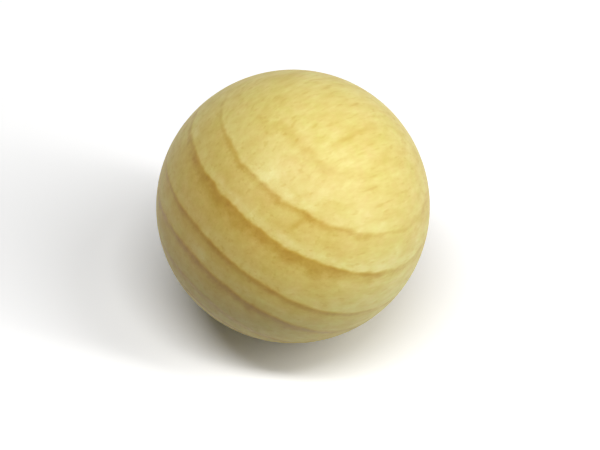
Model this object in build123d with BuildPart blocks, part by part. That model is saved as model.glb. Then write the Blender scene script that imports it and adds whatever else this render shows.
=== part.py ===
"""A turned wooden ball: one solid piece of wood with a plain, unbroken surface.

Frame, in millimetres: the origin is the centre of the ball and +Z is up. The ball
stands on its lowest point, (0, 0, -ball_diameter / 2).
"""

import os

from build123d import *

# ---------------------------------------------------------------- driving size
ball_diameter = 30.0  # over the finished surface, the same in every direction

ball_radius = ball_diameter / 2


# ------------------------------------------------------------------------ ball
# It is turned as a half round spun about the lathe's axis, which is +Z here. The
# profile's straight side lies on that axis, so the ball is solid, with no bore.
with BuildPart() as ball:
    with BuildSketch(Plane.XZ) as half_round:
        with BuildLine():
            edge = CenterArc((0, 0), ball_radius, start_angle=-90, arc_size=180)
            Line(edge @ 1, edge @ 0)
        make_face()
    revolve(axis=Axis.Z, revolution_arc=360)

ball.part.label = "ball"


# ---------------------------------------------------------------------- export
os.makedirs("parts", exist_ok=True)
export_step(ball.part, "parts/ball.step")

print(f"ball: diameter {ball_diameter:.1f} mm, volume {ball.part.volume:.1f} mm3")
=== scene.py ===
# %% [markdown]
# # A turned wooden ball
#
# The real thing is one small ball of pale, fast-grown wood, turned on a lathe and sanded
# to a silky finish, with no lacquer. All of its character is in the wood: the blank was
# cut beside a gentle swelling in the log, so the growth rings meet the surface as closed
# loops round one spot, the crown, and spread out from there like contour lines.
#
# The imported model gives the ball's exact size and place. Everything below is worked out
# from it, in metres, in the same frame: the ball's centre is the origin and +Z is up.

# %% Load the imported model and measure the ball
import math
from collections import namedtuple

import bpy
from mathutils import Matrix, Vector


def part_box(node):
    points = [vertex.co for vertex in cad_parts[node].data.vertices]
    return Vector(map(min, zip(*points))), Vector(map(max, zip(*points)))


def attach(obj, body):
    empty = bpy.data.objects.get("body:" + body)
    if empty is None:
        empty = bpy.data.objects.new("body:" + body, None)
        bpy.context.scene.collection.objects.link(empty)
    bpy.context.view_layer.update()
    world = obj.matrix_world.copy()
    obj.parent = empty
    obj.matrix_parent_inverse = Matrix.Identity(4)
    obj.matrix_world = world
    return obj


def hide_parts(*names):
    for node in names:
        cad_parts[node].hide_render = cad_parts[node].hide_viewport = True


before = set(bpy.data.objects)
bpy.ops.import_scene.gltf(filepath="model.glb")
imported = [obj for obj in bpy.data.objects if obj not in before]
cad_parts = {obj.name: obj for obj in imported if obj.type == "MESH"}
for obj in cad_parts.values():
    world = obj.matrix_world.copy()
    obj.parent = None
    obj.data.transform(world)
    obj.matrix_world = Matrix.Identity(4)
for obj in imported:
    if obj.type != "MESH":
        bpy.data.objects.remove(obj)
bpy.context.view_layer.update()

MM = 0.001
ball_low, ball_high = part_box("ball")
centre = (ball_low + ball_high) / 2
radius = (ball_high.z - ball_low.z) / 2
ball_mm = radius / MM
print(f"ball: centre {tuple(round(c, 5) for c in centre)}, radius {ball_mm:.2f} mm")


# %% [markdown]
# ## Writing shader maths as sums
#
# Wood is built from a handful of measures, such as how deep a point lies under the bark
# side, and each takes a dozen Math nodes. Wired one by one they can't be read. So one
# small class wraps a socket and lets plain Python expressions add the nodes. The same
# class serves a material's node tree and a Geometry Nodes tree, so the relief that is
# cut into the mesh and the colour that is painted on it come from the same sum and can
# never slide apart.

# %% A socket that can be added, multiplied and blended
class Field:
    """What comes out of a node's socket: mostly a number that changes from point to point."""

    def __init__(self, tree, socket):
        self.tree = tree
        self.socket = socket

    @staticmethod
    def add(tree, kind, inputs=(), settings=(), output=0):
        """Adds a node: its settings are set first, then its sockets get values or links."""
        made = tree.nodes.new(kind)
        for name, value in dict(settings).items():
            setattr(made, name, value)
        for name, value in dict(inputs).items():
            if isinstance(value, Field):
                tree.links.new(value.socket, made.inputs[name])
            else:
                made.inputs[name].default_value = value
        return Field(tree, made.outputs[output]) if made.outputs else None

    def node(self, kind, inputs=(), settings=(), output=0):
        return Field.add(self.tree, kind, inputs, settings, output)

    def maths(self, operation, *terms):
        return self.node("ShaderNodeMath", enumerate(terms), {"operation": operation})

    def vectors(self, operation, *terms, output=0):
        return self.node("ShaderNodeVectorMath", enumerate(terms), {"operation": operation}, output)

    def __add__(self, other):
        return self.maths("ADD", self, other)

    __radd__ = __add__

    def __sub__(self, other):
        return self.maths("SUBTRACT", self, other)

    def __rsub__(self, other):
        return self.maths("SUBTRACT", other, self)

    def __mul__(self, other):
        return self.maths("MULTIPLY", self, other)

    __rmul__ = __mul__

    def __truediv__(self, other):
        return self.maths("DIVIDE", self, other)

    def __neg__(self):
        return self.maths("MULTIPLY", self, -1.0)

    def at_least(self, floor):
        return self.maths("MAXIMUM", self, floor)

    def squared(self):
        return self * self

    def root(self):
        return self.maths("SQRT", self)

    def exponential(self):
        return self.maths("EXPONENT", self)


# %% [markdown]
# Two shapes come up all the time. A ramp goes smoothly from one value to another between
# two marks, which is how an edge is drawn. Noise is an even scatter of soft spots. Wood's
# spots are never round: they are drawn out along the fibres, so the noise is read more
# slowly in that direction.

# %% Ramps and noise
def ramp(field, start, end, low=0.0, high=1.0):
    """Goes smoothly from low to high as the field goes from start to end, and stays there."""
    sockets = {"Value": field, "From Min": start, "From Max": end, "To Min": low, "To Max": high}
    return field.node("ShaderNodeMapRange", sockets, {"interpolation_type": "SMOOTHSTEP"}, "Result")


def noise(grain, scale, stretch=1.0, detail=2.0, roughness=0.5):
    """Spots from about -1 to 1, with scale of them to a millimetre, longer along the fibres."""
    place = grain.vectors("MULTIPLY", grain, (stretch, 1.0, 1.0))
    sockets = {"Vector": place, "Scale": scale, "Detail": detail, "Roughness": roughness}
    return grain.node("ShaderNodeTexNoise", sockets) * 4.0 - 2.0


# %% [markdown]
# ## How the blank sat in the log
#
# Three directions describe a piece of wood: outwards to the bark, along the fibres, and
# across both, round the trunk. The crown of the ball points to the bark. The fibres lie
# tilted in the ball, so the end grain shows low on one side and high behind the other.
#
# Flat stripes, or the round rings of a plain trunk, would be simpler, but they can't close
# into loops as these do. So the rings are shells round the pith, and a point's ring depth
# is how far it lies below the shell that just touches the crown. Three things bend the
# shells: the trunk is round, it swells along its length here, and it twists a little.

# %% The log's three directions
def unit(x, y, z):
    return Vector((x, y, z)).normalized()


bark = unit(0.38, 0.02, 0.925)
fibre = unit(0.706, 0.641, -0.303)
fibre = (fibre - bark * fibre.dot(bark)).normalized()
across = bark.cross(fibre)
print("fibres along", tuple(round(c, 2) for c in fibre))


def log_coordinates(position):
    """A point's place in the log in mm: all three numbers as one, then each alone."""
    settings = {"operation": "SCALE"}
    place = position.node("ShaderNodeVectorMath", {0: position, "Scale": 1 / MM}, settings)
    along, sideways, outwards = (
        place.vectors("DOT_PRODUCT", place, direction, output="Value")
        for direction in (fibre, across, bark))
    grain = place.node("ShaderNodeCombineXYZ", {"X": along, "Y": sideways, "Z": outwards})
    return grain, along, sideways, outwards


# %% The shape of the ring shells
pith_below_crown = 2.25 * ball_mm
swell_per_mm = 0.211 / ball_mm
twist_per_mm = 0.033 / ball_mm
lean = 0.014
wander_mm = 0.13
ragged_mm = 0.08
print("pith", round(pith_below_crown, 1), "mm below the crown")


def ring_depth(grain, along, sideways, outwards):
    """Millimetres below the ring shell that touches the crown."""
    from_pith = outwards + (pith_below_crown - ball_mm)
    shell = pith_below_crown - (from_pith.squared() + sideways.squared()).root()
    bend = along * lean + along.squared() * swell_per_mm - along * sideways * twist_per_mm
    wander = noise(grain, 0.32, stretch=0.5) * wander_mm
    ragged = noise(grain, 1.1, stretch=0.4) * ragged_mm
    return shell - bend + wander + ragged


# %% [markdown]
# ## The rings themselves
#
# Each year the tree lays down pale, soft wood first and dark, hard wood last, and then
# stops for the winter. So a ring fades slowly from pale to dark and ends on a sharp line,
# and just outside it lies the palest wood of all, the next spring's. The years differ: a
# dry summer leaves a thin dark line, and a long one leaves a broad band with a haze
# behind it. A repeating wave would make all the rings alike, so each ring is written as
# a row of its own, from the crown inwards.

# %% Ring ends from the crown inwards
Ring = namedtuple("Ring", "depth edge darkness breadth haze paleness lead")
rings = [
    # depth, then how soft the edge is, how dark and how broad the band, how strong the haze
    # behind it, and how pale and how broad the next spring's wood starts outside it
    Ring(1.0, 0.30, 0.65, 0.50, 0.10, 0.40, 0.30),
    Ring(3.5, 0.22, 1.15, 0.50, 0.46, 0.50, 0.30),
    Ring(6.0, 0.20, 1.35, 1.20, 0.75, 1.20, 0.34),
    Ring(10.0, 0.35, 1.50, 0.80, 0.80, 0.60, 0.45),
    Ring(13.0, 0.55, 2.15, 1.35, 0.45, 1.00, 0.75),
    Ring(17.5, 0.50, 1.40, 1.10, 0.30, 0.30, 0.60),
    Ring(20.5, 0.30, 1.30, 0.70, 0.30, 0.30, 0.40),
    Ring(23.5, 0.30, 0.90, 0.50, 0.25, 0.20, 0.30),
    Ring(26.5, 0.30, 1.20, 0.70, 0.30, 0.30, 0.30),
    Ring(29.0, 0.30, 0.80, 0.50, 0.20, 0.20, 0.30),
]
haze_reach = 2.4
print(len(rings), "rings, the deepest", rings[-1].depth, "mm below the crown")


# %% [markdown]
# A tree grows more on one side than on the other, and so do its rings: they are at their
# broadest and darkest low on the side where the blank's end grain shows, and thin out
# away from it. Slow noise makes the same ring darker here and paler there.

# %% How the rings change round the log
strong_along = -0.93
strong_across = -0.37
least_dark = 0.1
crown_softness_mm = 0.5
least_broad = 0.15


def ring_sides(grain, along, sideways):
    """How dark and how broad the rings are here, about 1 on their strong side."""
    off_axis = (along.squared() + sideways.squared()).root() + crown_softness_mm
    side = (along * strong_along + sideways * strong_across) / off_axis
    patches = noise(grain, 0.75, stretch=0.6, detail=3.0, roughness=0.65)
    dark = ramp(side, -0.3, 0.9, 0.36, 1.0) + patches * 0.32
    broad = ramp(side, 0.40, 0.98, 0.42, 1.0) + patches * 0.20
    return dark.at_least(least_dark), broad.at_least(least_broad)


# %% Dark late wood and pale spring wood
edge_starts = -0.1
fade_starts = 0.15
fade_ends = 1.35
line_gap = 0.05


def late_wood(depth, dark, broad, blur=0.0):
    """0 in pale early wood, and 1 or more where a year's dark wood ends."""
    total = 0.0
    for ring in rings:
        past = depth - ring.depth
        sharp = ramp(past, edge_starts - blur, ring.edge + blur)
        band = sharp - ramp(past / broad, fade_starts * ring.breadth, fade_ends * ring.breadth)
        haze = sharp * (past / -haze_reach).exponential()
        total = total + band.at_least(0.0) * dark * ring.darkness + haze * dark * ring.haze
    return total


def spring_wood(depth, strength):
    """0 in most of the wood, and 1 or so in the first growth just outside each ring end."""
    total = 0.0
    for ring in rings:
        before = (depth - (ring.depth - ring.lead - line_gap)) / ring.lead
        total = total + (-before.squared()).exponential() * strength * ring.paleness
    return total


# %% [markdown]
# ## The ball's surface
#
# A lathe would spin a half round, and in Blender the Spin tool does the same, but it
# leaves slivers of faces at both poles. A cube that is halved and rounded again and
# again has none: all its faces stay near square, all over the ball. Seven rounds give
# faces about 0.2 mm wide, fine enough for the relief.

# %% Round a cube into a ball
halvings = 7
bpy.ops.object.select_all(action="DESELECT")
bpy.ops.mesh.primitive_cube_add(size=2 * radius / math.sqrt(3), location=centre)
bpy.ops.object.transform_apply(location=True, rotation=False, scale=False)
ball = bpy.context.object
ball.name = "turned_ball"
bpy.ops.object.mode_set(mode="EDIT")
bpy.ops.mesh.select_all(action="SELECT")
for halving in range(halvings):
    bpy.ops.mesh.subdivide(number_cuts=1)
    bpy.ops.transform.tosphere(value=1.0)
bpy.ops.mesh.normals_make_consistent(inside=False)
bpy.ops.object.mode_set(mode="OBJECT")
print("rounded cube:", len(ball.data.polygons), "faces")

# %% [markdown]
# Each rounding moves the points to their average distance from the middle, and the
# corners of a fresh cut lie inside it, so the ball comes out too small. It is measured
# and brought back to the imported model's size.

# %% Bring it to size
reach = [(v.co - centre).length for v in ball.data.vertices]
to_size = radius / (sum(reach) / len(reach))
bpy.ops.object.mode_set(mode="EDIT")
bpy.ops.transform.resize(value=(to_size, to_size, to_size))
bpy.ops.object.mode_set(mode="OBJECT")
reach = [(v.co - centre).length / MM for v in ball.data.vertices]
print(f"grown by {to_size:.3f}: radius {min(reach):.3f} to {max(reach):.3f} mm")

# %% [markdown]
# Sanding cuts soft early wood a little deeper than the hard late wood, so the ring ends
# stand proud, by up to three hundredths of a millimetre, and light from the side shows
# it. That is real shape, so it is cut into the mesh, not painted. Geometry
# Nodes moves each point along its normal by the same ring field that the colour uses,
# and the modifier is then applied.

# %% A node group that sands the soft wood lower than the hard
proud = 0.012 * MM
usual_height = 0.6
relief_blur = 0.15
sanding = bpy.data.node_groups.new("sanded relief", "GeometryNodeTree")
sanding.interface.new_socket("Geometry", in_out="INPUT", socket_type="NodeSocketGeometry")
sanding.interface.new_socket("Geometry", in_out="OUTPUT", socket_type="NodeSocketGeometry")
grain, along, sideways, outwards = log_coordinates(Field.add(sanding, "GeometryNodeInputPosition"))
depth = ring_depth(grain, along, sideways, outwards)
dark, broad = ring_sides(grain, along, sideways)
height = (late_wood(depth, dark, broad, relief_blur) - usual_height) * proud
normal = Field.add(sanding, "GeometryNodeInputNormal")
offset = normal.node("ShaderNodeVectorMath", {0: normal, "Scale": height}, {"operation": "SCALE"})
blank = Field.add(sanding, "NodeGroupInput", output="Geometry")
sanded = blank.node("GeometryNodeSetPosition", {"Geometry": blank, "Offset": offset})
Field.add(sanding, "NodeGroupOutput", {"Geometry": sanded})

# %% Apply the relief
relief = ball.modifiers.new("sanded relief", "NODES")
relief.node_group = sanding
bpy.ops.object.modifier_apply(modifier=relief.name)
bpy.data.node_groups.remove(sanding)
bpy.ops.object.shade_smooth()
reach = [(v.co - centre).length / MM for v in ball.data.vertices]
print(f"sanded ball: radius {min(reach):.3f} to {max(reach):.3f} mm")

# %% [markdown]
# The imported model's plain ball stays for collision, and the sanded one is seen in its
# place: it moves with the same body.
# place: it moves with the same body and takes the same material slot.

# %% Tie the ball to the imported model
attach(ball, "root")
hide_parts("ball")

# %% [markdown]
# ## What else marks the wood
#
# Between the rings the wood is not plain. There are pale clouds where the grain lies just
# right to throw the light back, dark cores in some of the bands, long streaks where
# bundles of fibres were cut open, and a small branch trace by the second ring. One wide
# pale patch low on the right front is painted light: the white paper's bounce and
# reflection, painted into the colour. Noise could scatter such marks anywhere, but the
# large ones give the ball a face of its own.
# So these few are placed one by one, in steps of 5 degrees down from the crown and round it.
# The small marks are left to the noise of the grain.

# %% Marks placed one by one
Mark = namedtuple("Mark", "from_crown turn half_length half_width stain")
marks = [
    # degrees down from the crown, degrees round it, half sizes in mm, and how dark
    Mark(45, 10, 2.5, 1.0, -0.50),     # pale clouds between the first two rings
    Mark(40, 40, 2.0, 1.0, -0.35),
    Mark(30, -25, 0.6, 0.4, -0.60),    # bright knot on the first ring
    Mark(35, -30, 0.8, 0.7, 0.30),     # and the dark wood beside it
    Mark(15, 45, 2.0, 0.3, 0.50),      # long streaks across the crown
    Mark(10, 90, 2.0, 0.3, 0.45),
    Mark(25, 100, 1.5, 0.3, 0.40),
    Mark(35, -90, 4.0, 0.8, 0.35),     # broad streak behind the crown
    Mark(50, 5, 1.2, 1.0, -0.40),      # the second ring fades here
    Mark(55, 35, 1.3, 0.3, 0.80),      # branch trace by it
    Mark(70, 10, 2.0, 0.8, 0.30),      # dark core of the third ring
    Mark(85, 40, 1.5, 0.8, 0.50),      # and of the fourth
    Mark(90, 5, 1.5, 1.0, -0.60),      # pale patch outside the fifth
    Mark(100, 20, 2.0, 0.9, 0.65),     # dark cores of the fifth
    Mark(100, 35, 2.0, 0.9, 0.65),
    Mark(80, 90, 6.0, 6.0, -0.75),     # painted light: the white paper's bounce and reflection, a wide pale patch low on the right front
]
least_half_depth = 0.8
print(len(marks), "marks")


def place_on_ball(from_crown, turn):
    """A place on the surface in the log's directions. Turn 0 is the near end grain's side."""
    down = math.radians(from_crown)
    round_crown = math.radians(turn)
    out = math.sin(down) * ball_mm
    return (-out * math.cos(round_crown), -out * math.sin(round_crown), math.cos(down) * ball_mm)


def hand_placed(grain):
    """How much the marks above darken the wood, and how much one of them, painted light, pales it:
    more is darker, and less than none is paler.
    """
    total = 0.0
    for mark in marks:
        offset = grain.vectors("SUBTRACT", grain, place_on_ball(mark.from_crown, mark.turn))
        half_depth = max(mark.half_width, least_half_depth)
        size = (1 / mark.half_length, 1 / mark.half_width, 1 / half_depth)
        scaled = offset.vectors("MULTIPLY", offset, size)
        away = scaled.vectors("LENGTH", scaled, output="Value")
        total = total + (-away.squared()).exponential() * mark.stain
    return total


# %% [markdown]
# ## The grain
#
# The many small marks do come from noise, at four sizes: clouds some millimetres across,
# mottling about a millimetre across, bundles of fibres, and single fibres. Flecks are the
# few bundles that were cut open, so only the peaks of their noise show. Where the fibres
# meet the surface end on, they soak up more light, and that wood is darker.

# %% Rings, clouds, fibres and flecks on the ball
wood = bpy.data.materials.new("sanded pale wood")
wood.use_nodes = True
tree = wood.node_tree
tree.nodes.clear()
position = Field.add(tree, "ShaderNodeTexCoord", output="Object")
grain, along, sideways, outwards = log_coordinates(position)
depth = ring_depth(grain, along, sideways, outwards)
dark, broad = ring_sides(grain, along, sideways)
late = late_wood(depth, dark, broad)
spring = spring_wood(depth, dark * broad)
clouds = noise(grain, 0.45, stretch=0.6, detail=3.0, roughness=0.6)
mottling = noise(grain, 1.0, stretch=0.45, roughness=0.6)
bundles = noise(grain, 1.9, stretch=0.22, detail=3.0, roughness=0.65)
fibres = noise(grain, 5.0, stretch=0.14, roughness=0.6)
flecks = ramp(noise(grain, 2.0, stretch=0.3, detail=1.0), 0.30, 1.1)
end_grain = (along / ball_mm).squared().squared()

# %% [markdown]
# ## The wood's colour
#
# Light that comes back out of wood has passed through its own yellow-brown dye: the more
# dye, the darker, and blue goes first, then green, then red. A colour ramp could hold a
# few such colours, but the true law is simpler: one number, the stain, is the sum of the
# rings, the marks and the grain, and each channel falls off from the pale wood's colour
# at its own rate. One of the marks is painted light, not stain: it pales the wood low on
# the right front, where the white paper's bounce and reflection fall. A second, slow noise
# turns the hue a little, because no board is one hue all over, and end grain is a little
# redder.

# %% How much stain the wood holds
spring_paleness = 0.45
end_grain_stain = 0.45
cloud_stain = 0.26
mottling_stain = 0.30
bundle_stain = 0.14
fibre_stain = 0.04
fleck_stain = 0.40
# One of the marks is painted light: the white paper's bounce and reflection, painted as a paler patch
# low on the right front.
stain = late - spring * spring_paleness + hand_placed(grain) + end_grain * end_grain_stain
stain = stain + clouds * cloud_stain + mottling * mottling_stain + bundles * bundle_stain
stain = stain + fibres * fibre_stain + flecks * fleck_stain

# %% From stain to colour
pale_wood = (0.80, 0.66, 0.195)
dye_rates = (0.175, 0.30, 0.70)
hue_turns = (0.018, -0.026, 0.05)
hue_offset_mm = 40.0
elsewhere = grain.vectors("ADD", grain, (hue_offset_mm, 0.0, 0.0))
hue = noise(elsewhere, 0.45, detail=3.0, roughness=0.65) + end_grain * 1.2
red, green, blue = (
    (stain * -rate + hue * turn).exponential() * level
    for level, rate, turn in zip(pale_wood, dye_rates, hue_turns))
colour = stain.node("ShaderNodeCombineColor", {"Red": red, "Green": green, "Blue": blue})

# %% [markdown]
# ## The sanded finish
#
# Bare sanded wood is a soft matt, a little smoother on the hard late wood. The finest
# sandpaper still leaves the ends of cut fibres open as tiny grooves. At a hundredth of a
# millimetre they are too fine for the mesh, so they are the one thing left to bump.

# %% Gloss, pores and the finished material
roughness = 0.50 - late * 0.06 + bundles * 0.04
pores = bundles * 0.5 + fibres * 0.5 - flecks * 0.8
bump = pores.node("ShaderNodeBump", {"Height": pores, "Strength": 0.5, "Distance": 0.012 * MM})
sockets = {"Base Color": colour, "Roughness": roughness, "Normal": bump}
finish = colour.node("ShaderNodeBsdfPrincipled", sockets)
finish.node("ShaderNodeOutputMaterial", {"Surface": finish})
ball.data.materials.append(wood)
print("wood material:", len(tree.nodes), "nodes")

# %% [markdown]
# ## The table top
#
# The ball lies on plain white paper that runs out to white, with only the ball's shadow
# on it. Paper that bright would also throw a lot of light up at the ball and wash out its
# shaded side. So the paper is white where the camera, a reflection or glass shows it, and
# a darker grey where light only bounces off it. Far from the ball the lamps reach the paper
# less, so it is written brighter there, or it would end in a grey line against the room.

# %% Rays that show the background
def background_rays(tree):
    """1 on rays that come straight from the camera or through glass, and 1 on mirrored ones."""
    kinds = ("Is Camera Ray", "Is Transmission Ray", "Is Glossy Ray")
    camera, through, mirrored = (Field.add(tree, "ShaderNodeLightPath", output=kind) for kind in kinds)
    return camera + through, mirrored


# %% White paper
paper_radius = 0.3
bounce_level = 0.28
seen_level = 1.21
mirrored_level = 1.28
far_rise = 0.35
rise_starts = 0.05
rise_ends = 0.25
bpy.ops.object.select_all(action="DESELECT")
bpy.ops.mesh.primitive_circle_add(
    vertices=128, radius=paper_radius, fill_type="NGON", location=(centre.x, centre.y, ball_low.z))
table = bpy.context.object
table.name = "table_top"
paper = bpy.data.materials.new("white paper")
paper.use_nodes = True
tree = paper.node_tree
tree.nodes.clear()
seen, mirrored = background_rays(tree)
position = Field.add(tree, "ShaderNodeTexCoord", output="Object")
far = ramp(position.vectors("LENGTH", position, output="Value"), rise_starts, rise_ends)
level = seen * (far * far_rise + (seen_level - bounce_level))
level = level + mirrored * (mirrored_level - bounce_level) + bounce_level
colour = level.node("ShaderNodeCombineColor", {"Red": level, "Green": level, "Blue": level})
matt = colour.node("ShaderNodeBsdfDiffuse", {"Color": colour})
matt.node("ShaderNodeOutputMaterial", {"Surface": matt})
table.data.materials.append(paper)

# %% [markdown]
# ## The room
#
# The room is white to the camera and in reflections, at a strength of 1, and gives only
# a faint even light of its own, so that the shadows stay deep.

# %% White room
room_light = 0.03
room = bpy.data.worlds.new("white room")
bpy.context.scene.world = room
room.use_nodes = True
tree = room.node_tree
tree.nodes.clear()
seen, mirrored = background_rays(tree)
strength = (seen + mirrored) * (1.0 - room_light) + room_light
glow = strength.node("ShaderNodeBackground", {"Color": (1.0, 1.0, 1.0, 1.0), "Strength": strength})
glow.node("ShaderNodeOutputWorld", {"Surface": glow})


# %% [markdown]
# ## The lamps
#
# Two long softboxes light the ball: one almost overhead, which draws the round shadow
# under it, and a tall one at its right, which models it from light to dark and throws the
# long soft shadow. A weak one low at the front right lifts its lower half. One big lamp would be
# simpler, but its shadow would be a single soft patch. Each box is given as it is
# seen from the ball: where it stands, how wide and tall it looks from the ball, and how much
# light it gives there.

# %% Softboxes
lamp_distance = 1.0


def towards(azimuth, elevation):
    """The direction from the ball, with azimuth 0 to the front and 90 to the right."""
    a = math.radians(azimuth)
    e = math.radians(elevation)
    return Vector((math.sin(a) * math.cos(e), -math.cos(a) * math.cos(e), math.sin(e)))


def softbox(name, azimuth, elevation, half_width, half_height, level):
    """A rectangle of light that faces the ball. Angles are in degrees, seen from the ball."""
    light = bpy.data.lights.new(name, "AREA")
    light.shape = "RECTANGLE"
    light.size = 2 * lamp_distance * math.tan(math.radians(half_width))
    light.size_y = 2 * lamp_distance * math.tan(math.radians(half_height))
    light.energy = level * (math.pi * lamp_distance) ** 2
    lamp = bpy.data.objects.new(name, light)
    bpy.context.scene.collection.objects.link(lamp)
    lamp.location = centre + towards(azimuth, elevation) * lamp_distance
    lamp.rotation_euler = towards(azimuth, elevation).to_track_quat("Z", "Y").to_euler()
    lamp.visible_camera = False
    print(f"{name}: {light.size:.2f} by {light.size_y:.2f} m, {light.energy:.1f} W")


softbox("overhead strip", azimuth=-10, elevation=76.5, half_width=21.5, half_height=4, level=0.65)
softbox("side strip", azimuth=72, elevation=40, half_width=4, half_height=22, level=0.47)
softbox("low fill", azimuth=56, elevation=14, half_width=12, half_height=8, level=0.17)

# %% [markdown]
# ## The camera
#
# The ball is seen from well above, from 16 radii away, where perspective hardly shows. The
# camera is aimed a little beside the ball's middle, so that the ball sits a touch high
# and left in the picture.

# %% Camera
camera_elevation = 46
camera_distance = 16 * radius
lens = 131.2
sensor = 36.0
aim_right = 0.0115
aim_down = 0.0310
out_of_picture = towards(0, camera_elevation)
right = Vector((1, 0, 0))
up = out_of_picture.cross(right)
frame_width = camera_distance * sensor / lens
aim = centre + (right * aim_right - up * aim_down) * frame_width
camera = bpy.data.objects.new("camera", bpy.data.cameras.new("camera"))
bpy.context.scene.collection.objects.link(camera)
camera.location = centre + out_of_picture * camera_distance
camera.rotation_euler = (camera.location - aim).to_track_quat("Z", "Y").to_euler()
camera.data.lens = lens
camera.data.sensor_width = sensor
camera.data.clip_start = 0.01
bpy.context.scene.camera = camera
bpy.context.scene.view_settings.view_transform = "Standard"
print(f"camera {camera_distance:.3f} m away, picture {frame_width / MM:.1f} mm wide at the ball")
